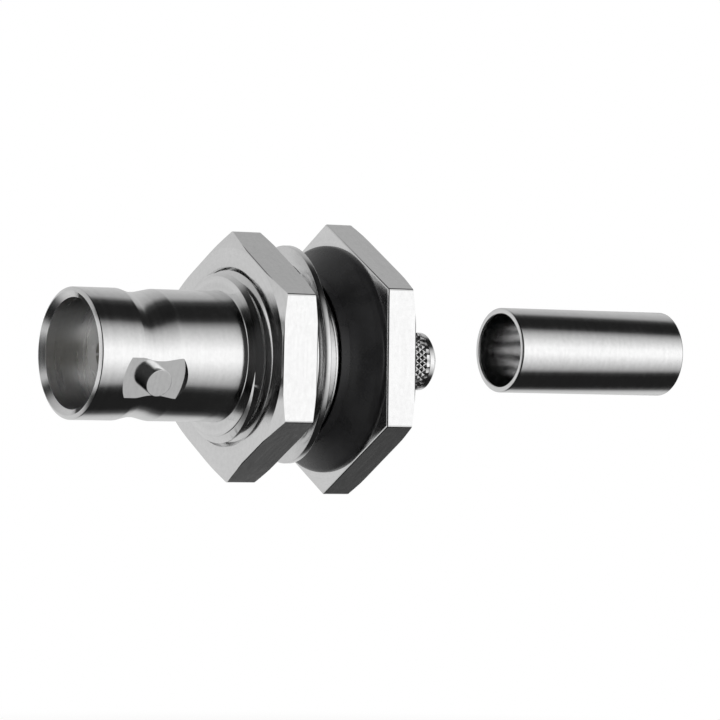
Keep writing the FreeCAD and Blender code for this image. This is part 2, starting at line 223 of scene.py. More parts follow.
class CableEndSizes(bpy.types.PropertyGroup):
    """Sizes of the contact, the insulator, the stem and the sleeve."""
    contact: length("Contact radius", 1.2, "Outside of the contact")
    contact_round: length("Contact rounding", 0.12, "Rounding of the contact's tip")
    socket: length("Socket radius", 0.68, "Hole for the plug's pin")
    socket_depth: length("Socket depth", 5.0, "Depth of that hole")
    slit: length("Slit width", 0.2, "Width of the slits in the contact")
    slit_len: length("Slit length", 3.8, "Length of the slits")
    collar: length("Collar radius", 1.97, "Collar of the contact")
    collar_place: length("Collar place", 12.3, "Mouth to the front of the collar")
    collar_len: length("Collar length", 1.0, "Length of the collar")
    cup: length("Cup radius", 1.0, "Outside of the cup for the wire")
    wire: length("Wire radius", 0.525, "Hole for the wire")
    wire_depth: length("Wire depth", 2.8, "Depth of the hole for the wire")
    nose: length("Nose radius", 2.4, "Nose of the insulator")
    play: length("Play", 0.03, "Room between pieces that are slid together")
    stem: length("Stem radius", 2.22, "Tips of the knurl on the stem's tail")
    stem_bore: length("Stem bore radius", 1.6, "Hole for the cable's core")
    stem_rim: length("Stem rim", 0.55, "Plain length at the end of the tail")
    stem_bevel: length("Stem bevel", 0.18, "Bevel at the end of the tail")
    knurl_depth: length("Knurl depth", 0.11, "Depth of the knurl's grooves")
    knurl_count: count("Knurl teeth", 30, 8, "Teeth round the tail")
    knurl_rows: count("Knurl rows", 9, 2, "Rows of teeth on the tail")
    ferrule: length("Sleeve radius", 3.22, "Outside of the crimp sleeve")
    ferrule_bore: length("Sleeve bore radius", 2.775, "Bore of the crimp sleeve")
    ferrule_round: length("Sleeve rounding", 0.13, "Rounding of the sleeve's ends")


class Finishes(bpy.types.PropertyGroup):
    """Colours and polish of the five finishes."""
    nickel: colour("Nickel", (0.92, 0.92, 0.92), "Bright nickel plate")
    nickel_rough: share("Nickel roughness", 0.13, "Polish of the plate")
    plate: colour("Washer plate", (0.86, 0.86, 0.86), "Plate on the washer")
    plate_rough: share("Washer roughness", 0.16, "Polish of the washer")
    bored_rough: share("Bored roughness", 0.14, "Added where the port is bored, deep in the mouth")
    rubber: colour("Rubber", (0.026, 0.026, 0.027), "Moulded black rubber")
    bead: colour("Bead", (0.80, 0.80, 0.79), "White bead plastic")
    contact: colour("Contact", (0.74, 0.72, 0.66), "Plate on the contact")


class StudioSizes(bpy.types.PropertyGroup):
    """Camera, lamps and backdrop."""
    lens: bpy.props.FloatProperty(name="Lens", description="Focal length on a 36 mm frame",
                                  default=239.442, unit="CAMERA")
    distance: length("Distance", 357.277, "Camera to the point it aims at")
    azimuth: turn("Azimuth", -32.508, "Camera round the upright axis")
    elevation: turn("Elevation", -1.144, "Camera over the horizon")
    roll: turn("Roll", 0.638, "Camera about its own line of sight")
    aim: length("Aim", 24.844, "Mouth to the point that the camera aims at")
    floor: length("Floor", -30.0, "Height of the floor")


def only(piece):
    """Makes a piece the only selected one, and the active one."""
    bpy.ops.object.select_all(action="DESELECT")
    piece.select_set(True)
    bpy.context.view_layer.objects.active = piece


def editing(piece, action="DESELECT"):
    """Goes into edit mode on one piece, with nothing or everything selected."""
    only(piece)
    bpy.ops.object.mode_set(mode="EDIT")
    bpy.ops.mesh.select_mode(type="VERT")
    bpy.ops.mesh.select_all(action=action)


def done_editing():
    """Goes back to object mode."""
    bpy.ops.object.mode_set(mode="OBJECT")


def pick_vertices(piece, wanted):
    """Selects the vertices for which wanted(place) holds."""
    mesh = bmesh.from_edit_mesh(piece.data)
    for vertex in mesh.verts:
        vertex.select = wanted(vertex.co)
    mesh.select_flush(True)
    bmesh.update_edit_mesh(piece.data)


def named(name):
    """Gives the new primitive its name, and hands it back."""
    piece = bpy.context.object
    piece.name = name
    piece.data.name = name
    return piece


def tidy(piece):
    """Welds doubles and turns every face outwards."""
    editing(piece, "SELECT")
    bpy.ops.mesh.remove_doubles(threshold=WELD)
    bpy.ops.mesh.dissolve_degenerate(threshold=WELD)
    bpy.ops.mesh.select_all(action="SELECT")
    bpy.ops.mesh.normals_make_consistent(inside=False)
    done_editing()


def profile(name, corners, rounded=(), closed=True):
    """Draws a line through (x, radius) corners. Each of rounded is a corner and its radius."""
    bpy.ops.object.select_all(action="DESELECT")
    bpy.ops.mesh.primitive_plane_add(size=MM)
    piece = named(name)
    editing(piece, "SELECT")
    bpy.ops.mesh.merge(type="CENTER")
    bpy.ops.mesh.select_all(action="SELECT")
    here = Vector((0, 0, 0))
    for x, radius in corners:
        there = Vector((x, 0, radius))
        if (x, radius) == corners[0]:
            bpy.ops.transform.translate(value=there)
        else:
            bpy.ops.mesh.extrude_vertices_move(TRANSFORM_OT_translate={"value": there - here})
        here = there
    if closed:
        ends = [Vector((x, 0, radius)) for x, radius in (corners[0], corners[-1])]
        pick_vertices(piece, lambda place: min((place - end).length for end in ends) < WELD)
        bpy.ops.mesh.edge_face_add()
    for (x, radius), size in rounded:
        corner = Vector((x, 0, radius))
        pick_vertices(piece, lambda place: (place - corner).length < WELD)
        bpy.ops.mesh.bevel(offset=size, segments=ROUNDING_SEGMENTS, affect="VERTICES")
    done_editing()
    return piece


def turned(name, corners, rounded=(), closed=True, steps=ROUND_STEPS):
    """Spins a profile round the jack's axis."""
    piece = profile(name, corners, rounded, closed)
    editing(piece, "SELECT")
    bpy.ops.mesh.spin(steps=steps, angle=math.tau, center=(0, 0, 0), axis=ABOUT_AXIS)
    done_editing()
    tidy(piece)
    return piece


def place(piece, matrix):
    """Moves a piece and puts its place into its mesh."""
    only(piece)
    piece.matrix_world = matrix @ piece.matrix_world
    bpy.ops.object.transform_apply(location=True, rotation=True, scale=True)


def about_axis(angle):
    """Turns a piece about the jack's axis, upwards on the -Y side."""
    return Matrix.Rotation(-angle, 4, "X")


def pointing(angle):
    """Turns what stands up along Z to an angle measured from the -Y side upwards."""
    return Matrix.Rotation(math.pi / 2 - angle, 4, "X")


def combine(piece, tool, operation):
    """Cuts, joins or crosses a piece with a tool, and throws the tool away."""
    only(piece)
    bpy.ops.object.modifier_add(type="BOOLEAN")
    cut = piece.modifiers[-1]
    cut.operation = operation
    cut.solver = "EXACT"
    cut.object = tool
    bpy.ops.object.modifier_apply(modifier=cut.name)
    bpy.data.objects.remove(tool)
    if len(piece.data.polygons) == 0:
        raise RuntimeError(f"nothing is left of {piece.name}")


def hexagon(name, across, start, end, edge):
    """A hexagonal bar with a corner up and its edges broken."""
    bpy.ops.object.select_all(action="DESELECT")
    bpy.ops.mesh.primitive_cylinder_add(vertices=6, radius=across / 2 / math.cos(HEX_HALF_ANGLE),
                                        depth=end - start)
    piece = named(name)
    lying = Matrix.Rotation(math.pi / 2, 4, "X") @ Matrix.Rotation(math.pi / 2, 4, "Y")
    place(piece, Matrix.Translation(((start + end) / 2, 0, 0)) @ lying)
    editing(piece, "SELECT")
    bpy.ops.mesh.bevel(offset=edge, segments=EDGE_SEGMENTS, affect="EDGES")
    done_editing()
    return piece


def corner_cone(across, start, end, front_drop, rear_drop):
    """A turned form that takes the corners off a hexagonal bar between two faces."""
    tip = across / 2 / math.cos(HEX_HALF_ANGLE)
    slope = math.tan(HEX_BEVEL_ANGLE)
    spare = MM
    wide = tip + 2 * spare

    def sloping(face, drop, side):
        """From the axis past a face, and down its bevel to beyond the corners."""
        rim = tip - drop / slope
        inner, outer = [(face - side * (radius - rim) * slope, radius)
                        for radius in (rim - spare, wide)]
        return [(inner[0], 0), inner, outer]

    front = [(start - spare, 0), (start - spare, wide)]
    if front_drop:
        front = sloping(start, front_drop, -1)
    return turned("cone", front + sloping(end, rear_drop, 1)[::-1], closed=False)


def helix(section, start, turns, pitch):
    """Winds a closed section round the axis as a right-handed screw, with capped ends."""
    piece = profile("groove", [(x + start, radius) for x, radius in section])
    only(piece)
    bpy.ops.object.modifier_add(type="SCREW")
    winding = piece.modifiers[-1]
    winding.axis = "X"
    winding.angle = math.tau
    winding.screw_offset = pitch
    winding.iterations = turns
    winding.steps = SMALL_ROUND_STEPS
    winding.render_steps = SMALL_ROUND_STEPS
    winding.use_merge_vertices = False
    bpy.ops.object.modifier_apply(modifier=winding.name)
    editing(piece, "SELECT")
    bpy.ops.mesh.remove_doubles(threshold=WELD)
    bpy.ops.mesh.fill_holes(sides=0)
    bpy.ops.mesh.select_all(action="SELECT")
    bpy.ops.mesh.normals_make_consistent(inside=False)
    done_editing()
    return piece


def thread_section(sizes, play):
    """Half a tooth's width at its crest and at its root, and the radii of root and crest."""
    crest_half = sizes.pitch * CREST_FLAT / 2
    root_half = sizes.pitch / 2 - sizes.pitch * ROOT_FLAT / 2
    depth = (root_half - crest_half) / math.tan(FLANK_ANGLE)
    return crest_half, root_half, sizes.thread - depth + play, sizes.thread + play


def finished(piece, material, body, node, smooth=SMOOTH_ANGLE):
    """Gives a piece its finish, hides the CAD node that it stands for, and hangs it on its body.
    """
    only(piece)
    bpy.ops.object.shade_smooth_by_angle(angle=smooth)
    piece.data.materials.clear()
    piece.data.materials.append(material)
    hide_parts(node)
    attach(piece, body)
    return {"FINISHED"}


class Nodes:
    """Short calls for laying out the nodes of a finish or of the backdrop."""

    def __init__(self, tree):
        self.tree = tree

    def add(self, kind, **settings):
        """Adds a node with its settings."""
        node = self.tree.nodes.new(kind)
        for key, value in settings.items():
            setattr(node, key, value)
        return node

    def link(self, source, target):
        """Joins an output to an input."""
        self.tree.links.new(source, target)

    def math(self, operation, *values):
        """Works on numbers and outputs alike."""
        node = self.add("ShaderNodeMath", operation=operation)
        for socket, value in zip(node.inputs, values):
            if isinstance(value, (int, float)):
                socket.default_value = value
            else:
                self.link(value, socket)
        return node.outputs[0]

    def change(self, value, start, end, before, after, way="SMOOTHSTEP"):
        """Goes from one number to another while a value goes from start to end."""
        node = self.add("ShaderNodeMapRange", interpolation_type=way)
        self.link(value, node.inputs["Value"])
        for socket, number in zip(node.inputs[1:5], (start, end, before, after)):
            socket.default_value = number
        return node.outputs["Result"]

    def mixed(self, amount, first, second):
        """Goes from one shader to another."""
        node = self.add("ShaderNodeMixShader")
        for socket, source in zip(node.inputs, (amount, first, second)):
            self.link(source, socket)
        return node.outputs[0]

    def to_the_eye(self):
        """1 where the camera looks straight at a surface or the backdrop, and else 0."""
        return self.add("ShaderNodeLightPath").outputs["Is Camera Ray"]


class FinishNodes(Nodes):
    """The nodes of one finish, with patterns that lie still on the piece."""

    def __init__(self, name):
        self.material = bpy.data.materials.new(name)
        self.material.use_nodes = True
        super().__init__(self.material.node_tree)
        self.shader = self.tree.nodes["Principled BSDF"]

    def place(self):
        """Where a point of the piece is, in the jack."""
        return self.add("ShaderNodeTexCoord").outputs["Object"]

    def from_axis(self, place):
        """How far a place is along the axis, and how far out from it."""
        parts = self.add("ShaderNodeSeparateXYZ")
        self.link(place, parts.inputs[0])
        along, y, z = parts.outputs
        squares = self.math("ADD", self.math("MULTIPLY", y, y), self.math("MULTIPLY", z, z))
        return along, self.math("SQRT", squares)

    def lathe_lines(self, place):
        """Coordinates that run along the axis and outwards, so that patterns follow the lathe."""
        joined = self.add("ShaderNodeCombineXYZ")
        for distance, socket in zip(self.from_axis(place), joined.inputs):
            self.link(self.math("MULTIPLY", distance, 1 / MM), socket)
        return joined.outputs[0]

    def bored(self, place):
        """More roughness on the port's bored wall, told by its place in the jack."""
        sizes = bpy.context.scene.jack_shell
        along, out = self.from_axis(place)
        inside = self.math("LESS_THAN", out, sizes.port + HAIR)
        ahead = self.math("LESS_THAN", along, sizes.port_depth + HAIR)
        return self.math("MULTIPLY", bpy.context.scene.jack_finishes.bored_rough,
                         self.math("MULTIPLY", inside, ahead))

    def noise(self, vector, scale, detail):
        """A cloudy pattern, finer with a greater scale."""
        node = self.add("ShaderNodeTexNoise")
        node.inputs["Scale"].default_value = scale
        node.inputs["Detail"].default_value = detail
        self.link(vector, node.inputs["Vector"])
        return node.outputs["Fac"]

    def weighted(self, first, *others):
        """A sum of patterns, each times its weight."""
        total = self.math("MULTIPLY", *first)
        for part in others:
            total = self.math("ADD", total, self.math("MULTIPLY", *part))
        return total

    def between(self, pattern, low, high):
        """Spreads a pattern from low to high."""
        return self.change(pattern, *NOISE_SPREAD, low, high, way="LINEAR")

    def shades(self, pattern, tint, low, high):
        """Colours the finish from low to high times its tint, as a pattern goes up."""
        node = self.add("ShaderNodeMix", data_type="RGBA")
        for name, strength in (("A", low), ("B", high)):
            node.inputs[name].default_value = (*(strength * part for part in tint), 1)
        self.link(self.between(pattern, 0, 1), node.inputs["Factor"])
        self.link(node.outputs["Result"], self.shader.inputs["Base Color"])

    def rough(self, roughness):
        """Sets how rough the finish is, from place to place."""
        self.link(roughness, self.shader.inputs["Roughness"])

    def bump(self, height, distance, strength):
        """Relief too fine to be modelled."""
        node = self.add("ShaderNodeBump")
        node.inputs["Strength"].default_value = strength
        node.inputs["Distance"].default_value = distance
        self.link(height, node.inputs["Height"])
        self.link(node.outputs["Normal"], self.shader.inputs["Normal"])


def plated_metal(name, tint, roughness, line_depth):
    """Plated metal with the lathe's fine lines, slight stains and uneven polish."""
    known = bpy.data.materials.get(name)
    if known:
        return known
    metal = FinishNodes(name)
    metal.shader.inputs["Metallic"].default_value = 1.0
    place = metal.place()
    cuts = metal.noise(metal.lathe_lines(place), scale=3.0, detail=5.0)
    stains = metal.noise(place, scale=0.22 / MM, detail=4.0)
    grain = metal.noise(place, scale=3.2 / MM, detail=2.0)
    metal.shades(metal.weighted((cuts, 0.45), (stains, 0.25), (grain, 0.3)), tint, 0.85, 1)
    polish = metal.between(cuts, roughness - 0.03, roughness + 0.03)
    dull = metal.math("ADD", metal.between(stains, 0, 0.03), metal.bored(place))
    metal.rough(metal.math("ADD", polish, dull))
    metal.bump(metal.weighted((cuts, 1), (grain, 0.35)), line_depth, strength=0.5)
    return metal.material


def bright_nickel():
    """Bright nickel plate, on all the turned metal pieces."""
    look = bpy.context.scene.jack_finishes
    return plated_metal("polished_nickel", look.nickel, look.nickel_rough, 0.0012 * MM)


def washer_plate():
    """The washer's plate, a little duller."""
    look = bpy.context.scene.jack_finishes
    return plated_metal("rolled_plate", look.plate, look.plate_rough, 0.0016 * MM)


def contact_plate():
    """The contact's plate, a little warmer."""
    look = bpy.context.scene.jack_finishes
    return plated_metal("pale_plate", look.contact, look.nickel_rough, 0.001 * MM)


def seal_rubber():
    """Moulded rubber with a faint bloom."""
    look = bpy.context.scene.jack_finishes
    rubber = FinishNodes("black_rubber")
    place = rubber.place()
    bloom = rubber.noise(place, scale=0.5 / MM, detail=5.0)
    grain = rubber.noise(place, scale=6.0 / MM, detail=3.0)
    rubber.shades(bloom, look.rubber, 1, 1.7)
    rubber.rough(rubber.between(bloom, 0.22, 0.36))
    rubber.shader.inputs["Specular IOR Level"].default_value = 0.35
    rubber.bump(grain, 0.01 * MM, strength=0.5)
    return rubber.material


def bead_plastic():
    """Turned white plastic, slightly waxy."""
    look = bpy.context.scene.jack_finishes
    bead = FinishNodes("white_bead")
    place = bead.place()
    cuts = bead.noise(bead.lathe_lines(place), scale=7.0, detail=3.0)
    stains = bead.noise(place, scale=0.4 / MM, detail=3.0)
    bead.shades(stains, look.bead, 0.94, 1)
    bead.rough(bead.between(cuts, 0.38, 0.52))
    bead.shader.inputs["Subsurface Weight"].default_value = 0.1
    bead.shader.inputs["Subsurface Radius"].default_value = (MM, MM, MM)
    bead.bump(cuts, 0.004 * MM, strength=0.4)
    return bead.material


class JACK_OT_shell(bpy.types.Operator):
    """Turn the shell, cut its thread, mill the spots and set the bayonet lugs"""
    bl_idname = "jack.shell"
    bl_label = "Shell"

    def waist_places(self, sizes):
        """Start of the waist, start and end of its floor, and end of the waist."""
        places = [sizes.waist_start]
        for part in (sizes.waist_drop, sizes.waist_floor, sizes.waist_rise):
            places.append(places[-1] + part)
        return places

    def outside(self, sizes):
        """Barrel, waist, shank and neck, ending inside the flange."""
        waist = sizes.barrel - sizes.waist_depth
        waist_corners = list(zip(self.waist_places(sizes),
                                 (sizes.barrel, waist, waist, sizes.barrel)))
        root = (sizes.barrel_end, sizes.barrel)
        inside_flange = sizes.flange_front + MM
        corners = [(0, 0), (0, sizes.mouth), (sizes.mouth_bevel, sizes.barrel), *waist_corners,
                   root, (sizes.barrel_end, sizes.thread_face),
                   (sizes.barrel_end + sizes.thread_bevel, sizes.thread),
                   (sizes.thread_end, sizes.thread), (sizes.thread_end, sizes.neck),
                   (inside_flange, sizes.neck), (inside_flange, 0)]
        rounded = [(corner, sizes.waist_round) for corner in waist_corners[1:3]]
        rounded += [(corner, sizes.edge) for corner in (waist_corners[0], waist_corners[3])]
        rounded += [(root, sizes.root_round), ((sizes.mouth_bevel, sizes.barrel), sizes.edge)]
        return turned("jack_shell", corners, rounded, closed=False)

    def oval_waist(self, shell, sizes):
        """Makes the waist oval, shallow beside the lugs, and turns its long axis to them."""
        start, *_, end = self.waist_places(sizes)
        rings = {}
        for vertex in shell.data.vertices:
            if start < vertex.co.x < end:
                radius = math.hypot(vertex.co.y, vertex.co.z)
                rings[round(vertex.co.x / WELD)] = (vertex.co.x, radius)
        editing(shell)
        for x, radius in rings.values():
            depth = sizes.barrel - radius
            wider = (sizes.barrel - depth * sizes.waist_side / sizes.waist_depth) / radius
            pick_vertices(shell, lambda spot: abs(spot.x - x) < WELD)
            bpy.ops.transform.resize(value=(1, 1, wider), center_override=(x, 0, 0))
        done_editing()
        place(shell, pointing(sizes.lug_turn))

    def thread_cutter(self, sizes):
        """A wound groove, stopped where the neck begins."""
        crest, root, low, high = thread_section(sizes, 0)
        half_floor = sizes.pitch / 2 - root
        half_top = sizes.pitch / 2 - crest
        over = high + OVERCUT
        section = [(-half_floor, low), (half_floor, low), (half_top, high), (half_top, over),
                   (-half_top, over), (-half_top, high)]
        start = sizes.barrel_end - sizes.thread_lead
        turns = math.ceil((sizes.thread_end - start) / sizes.pitch) + 1
        groove = helix(section, start, turns, sizes.pitch)
        stop = sizes.thread_end + HAIR
        far = stop + 4 * sizes.pitch
        block = turned("stop", [(stop, 0), (stop, 2 * over), (far, 2 * over), (far, 0)],
                       closed=False, steps=SMALL_ROUND_STEPS)
        combine(groove, block, "DIFFERENCE")
        return groove

    def lug(self, sizes, angle):
        """One lug, from inside the wall to its bevelled tip."""
        foot = sizes.port + LUG_FOOT
        bpy.ops.object.select_all(action="DESELECT")
        bpy.ops.mesh.primitive_cylinder_add(vertices=SMALL_ROUND_STEPS, radius=sizes.lug,
                                            depth=sizes.lug_reach - foot)
        pin = named("lug")
        place(pin, Matrix.Translation((0, 0, (foot + sizes.lug_reach) / 2)))
        editing(pin)
        pick_vertices(pin, lambda spot: spot.z > sizes.lug_reach - WELD)
        bpy.ops.mesh.bevel(offset=sizes.lug_bevel, segments=LUG_SEGMENTS, affect="EDGES")
        done_editing()
        place(pin, Matrix.Translation((sizes.lug_place, 0, 0)) @ pointing(angle))
        return pin

    def spot(self, sizes, angle):
        """The cutter that mills a round flat about a lug."""
        half = MM
        middle = sizes.barrel - sizes.spot_depth + half
        bpy.ops.object.select_all(action="DESELECT")
        bpy.ops.mesh.primitive_cylinder_add(vertices=SMALL_ROUND_STEPS, radius=sizes.spot,
                                            depth=2 * half, location=(0, 0, middle))
        cutter = named("spot")
        place(cutter, Matrix.Identity(4))
        behind = Matrix.Translation((sizes.lug_place + sizes.spot_shift, 0, 0))
        place(cutter, behind @ pointing(angle))
        return cutter

    def execute(self, context):
        sizes = context.scene.jack_shell
        back = SHELL_BOX[1].x
        shell = self.outside(sizes)
        self.oval_waist(shell, sizes)
        combine(shell, self.thread_cutter(sizes), "DIFFERENCE")
        flange = hexagon("flange", sizes.flange_across, sizes.flange_front, back, sizes.hex_edge)
        cone = corner_cone(sizes.flange_across, sizes.flange_front, back, 0, sizes.flange_bevel)
        combine(flange, cone, "INTERSECT")
        combine(shell, flange, "UNION")
        for angle in (sizes.lug_turn, sizes.lug_turn + math.pi):
            combine(shell, self.spot(sizes, angle), "DIFFERENCE")
            combine(shell, self.lug(sizes, angle), "UNION")
        flare = (sizes.mouth - sizes.port) / sizes.mouth_lead
        bores = turned("bores", [
            (-MM, 0), (-MM, sizes.mouth + MM * flare), (sizes.mouth_lead, sizes.port),
            (sizes.port_depth, sizes.port), (sizes.port_depth, sizes.lip),
            (sizes.seat_start, sizes.lip), (sizes.seat_start, sizes.seat),
            (back + MM, sizes.seat), (back + MM, 0)], closed=False)
        combine(shell, bores, "DIFFERENCE")
        tidy(shell)
        return finished(shell, bright_nickel(), "jack", "shell",
                        FINE_SMOOTH_ANGLE)


class JACK_OT_nut(bpy.types.Operator):
    """Make the hexagonal nut with its bevels and its thread"""
    bl_idname = "jack.nut"
    bl_label = "Hex nut"

    def execute(self, context):
        sizes = context.scene.jack_hardware
        shell = context.scene.jack_shell
        start, end = NUT_BOX[0].x, NUT_BOX[1].x
        nut = hexagon("threaded_nut", sizes.nut_across, start, end, shell.hex_edge)
        cone = corner_cone(sizes.nut_across, start, end, sizes.nut_bevel, sizes.nut_bevel)
        combine(nut, cone, "INTERSECT")
        place(nut, about_axis(sizes.nut_turn))
        crest, root, low, high = thread_section(shell, sizes.nut_play)
        lead = sizes.nut_mouth - low
        bore = turned("bore", [
            (start - lead, 0), (start - lead, sizes.nut_mouth + lead), (start + lead, low),
            (end - lead, low), (end + lead, sizes.nut_mouth + lead), (end + lead, 0)],
            closed=False)
        combine(nut, bore, "DIFFERENCE")
        under = low - OVERCUT
        section = [(-root, under), (root, under), (root, low), (crest, high), (-crest, high),
                   (-root, low)]
        first = shell.barrel_end - shell.thread_lead + shell.pitch / 2
        turns = math.ceil((end - first) / shell.pitch) + 1
        combine(nut, helix(section, first, turns, shell.pitch), "DIFFERENCE")
        tidy(nut)
        return finished(nut, bright_nickel(), "nut", "hex_nut",
                        FINE_SMOOTH_ANGLE)


class JACK_OT_washer(bpy.types.Operator):
    """Make the flat washer and lean it as it hangs on the thread"""
    bl_idname = "jack.washer"
    bl_label = "Washer"

    def execute(self, context):
        sizes = context.scene.jack_hardware
        thick = sizes.washer_thick
        corners = [(0, sizes.washer_hole), (0, sizes.washer), (thick, sizes.washer),
                   (thick, sizes.washer_hole)]
        washer = turned("flat_washer", corners,
                        [(corner, sizes.washer_edge) for corner in corners])
        line = (0, -math.sin(sizes.washer_swing), -math.cos(sizes.washer_swing))
        lean = Matrix.Rotation(sizes.washer_tilt, 4, line)
        place(washer, Matrix.Translation((sizes.washer_place, 0, sizes.washer_rise)) @ lean)
        return finished(washer, washer_plate(), "washer", "washer")


class JACK_OT_seal(bpy.types.Operator):
    """Mould the sealing ring with its sloping front"""
    bl_idname = "jack.seal"
    bl_label = "Sealing ring"

    def execute(self, context):
        sizes = context.scene.jack_hardware
        front, back = SEAL_BOX[0].x, SEAL_BOX[1].x
        hole = sizes.seal_hole
        shoulder = (back - sizes.seal_shoulder, sizes.seal - sizes.seal_drop)
        rim = (back - sizes.seal_shoulder / 2, sizes.seal)
        lip = front - sizes.seal_lip
        corners = [(lip, hole), (lip, sizes.seal_front), (front, sizes.seal_front), shoulder, rim,
                   (back, sizes.seal), (back, hole)]
        rounded = [(shoulder, sizes.seal_round), (rim, sizes.seal_round)]
        seal = turned("rubber_seal", corners, rounded)
        return finished(seal, seal_rubber(), "jack", "sealing_ring")


class JACK_OT_stem(bpy.types.Operator):
    """Turn the crimp stem and knurl its tail"""
    bl_idname = "jack.stem"
    bl_label = "Crimp stem"

    def execute(self, context):
        sizes = context.scene.jack_cable_end
        shell = context.scene.jack_shell
        start, end = STEM_BOX[0].x, STEM_BOX[1].x
        flange_back = SHELL_BOX[1].x
        low = sizes.stem - sizes.knurl_depth
        rim = sizes.stem - sizes.knurl_depth / 2
        knurl_end = end - sizes.stem_rim
        rows = 2 * sizes.knurl_rows
        spacing = (knurl_end - flange_back) / rows
        knurl = [(flange_back + row * spacing, low) for row in range(rows + 1)]
        stem = turned("knurled_stem", [
            (start, sizes.stem_bore), (start, shell.seat), (flange_back, shell.seat), *knurl,
            (knurl_end, rim), (end - sizes.stem_bevel, rim), (end, rim - sizes.stem_bevel),
            (end, sizes.stem_bore)], steps=2 * sizes.knurl_count)
        self.raise_teeth(stem, sizes, flange_back, spacing, rows)
        return finished(stem, bright_nickel(), "jack", "crimp_stem")

    def raise_teeth(self, stem, sizes, first, spacing, rows):
        """Lifts every other corner of the tail's grid, and joins the ones between by grooves."""
        low = sizes.stem - sizes.knurl_depth
        step = math.pi / sizes.knurl_count

        def on_grid(spot):
            """Told for a corner between the first and the last row."""
            row = round((spot.x - first) / spacing)
            return 0 < row < rows and abs(math.hypot(spot.y, spot.z) - low) < WELD

        def is_tooth(spot):
            """Told for every other corner, along and round."""
            row = round((spot.x - first) / spacing)
            column = round(math.atan2(spot.y, spot.z) / step)
            return (row + column) % 2 == 0

        editing(stem)
        pick_vertices(stem, lambda spot: on_grid(spot) and not is_tooth(spot))
        bpy.ops.mesh.vert_connect()
        pick_vertices(stem, lambda spot: on_grid(spot) and is_tooth(spot))
        bpy.ops.transform.shrink_fatten(value=sizes.knurl_depth)
        done_editing()


class JACK_OT_contact(bpy.types.Operator):
    """Turn the centre contact and slit its socket"""
    bl_idname = "jack.contact"
    bl_label = "Centre contact"

    def execute(self, context):
        sizes = context.scene.jack_cable_end
        tip, end = CONTACT_BOX[0].x, CONTACT_BOX[1].x
        collar_end = sizes.collar_place + sizes.collar_len
        lip = (tip, sizes.contact)
        socket_end = tip + sizes.socket_depth
        wire_end = end - sizes.wire_depth
        contact = turned("slit_contact", [
            (socket_end, 0), (socket_end, sizes.socket), (tip, sizes.socket), lip,
            (sizes.collar_place, sizes.contact), (sizes.collar_place, sizes.collar),
            (collar_end, sizes.collar), (collar_end, sizes.cup), (end, sizes.cup),
            (end, sizes.wire), (wire_end, sizes.wire), (wire_end, 0)],
            [(lip, sizes.contact_round)], closed=False, steps=SMALL_ROUND_STEPS)
        for angle in (0, math.pi / 2):
            bpy.ops.object.select_all(action="DESELECT")
            bpy.ops.mesh.primitive_cube_add(size=1)
            blade = named("blade")
            scale = Matrix.Diagonal((2 * sizes.slit_len, 3 * sizes.contact, sizes.slit, 1))
            place(blade, Matrix.Translation((tip, 0, 0)) @ Matrix.Rotation(angle, 4, "X") @ scale)
            combine(contact, blade, "DIFFERENCE")
        tidy(contact)
        return finished(contact, contact_plate(), "jack", "centre_contact")


class JACK_OT_bead(bpy.types.Operator):
    """Turn the insulator that carries the contact"""
    bl_idname = "jack.bead"
    bl_label = "Insulator"

    def execute(self, context):
        sizes = context.scene.jack_cable_end
        shell = context.scene.jack_shell
        front, back = BEAD_BOX[0].x, BEAD_BOX[1].x
        hole = sizes.contact + sizes.play
        pocket = sizes.collar + sizes.play
        outside = shell.seat - sizes.play
        nose = (front, sizes.nose)
        bead = turned("turned_bead", [
            (front, hole), nose, (shell.seat_start, sizes.nose), (shell.seat_start, outside),
            (back, outside), (back, pocket), (sizes.collar_place, pocket),
            (sizes.collar_place, hole)], [(nose, sizes.contact_round)], steps=SMALL_ROUND_STEPS)
        return finished(bead, bead_plastic(), "jack", "insulator")


class JACK_OT_ferrule(bpy.types.Operator):
    """Make the plain crimp sleeve with its rounded ends"""
    bl_idname = "jack.ferrule"
    bl_label = "Crimp sleeve"

    def execute(self, context):
        sizes = context.scene.jack_cable_end
        start, end = FERRULE_BOX[0].x, FERRULE_BOX[1].x
        rise = (FERRULE_BOX[0].z + FERRULE_BOX[1].z) / 2
        corners = [(start, sizes.ferrule_bore), (start, sizes.ferrule), (end, sizes.ferrule),
                   (end, sizes.ferrule_bore)]
        rounded = [(corner, sizes.ferrule_round) for corner in corners]
        sleeve = turned("plain_sleeve", corners, rounded)
        place(sleeve, Matrix.Translation((0, 0, rise)))
        return finished(sleeve, bright_nickel(), "jack", "crimp_ferrule")


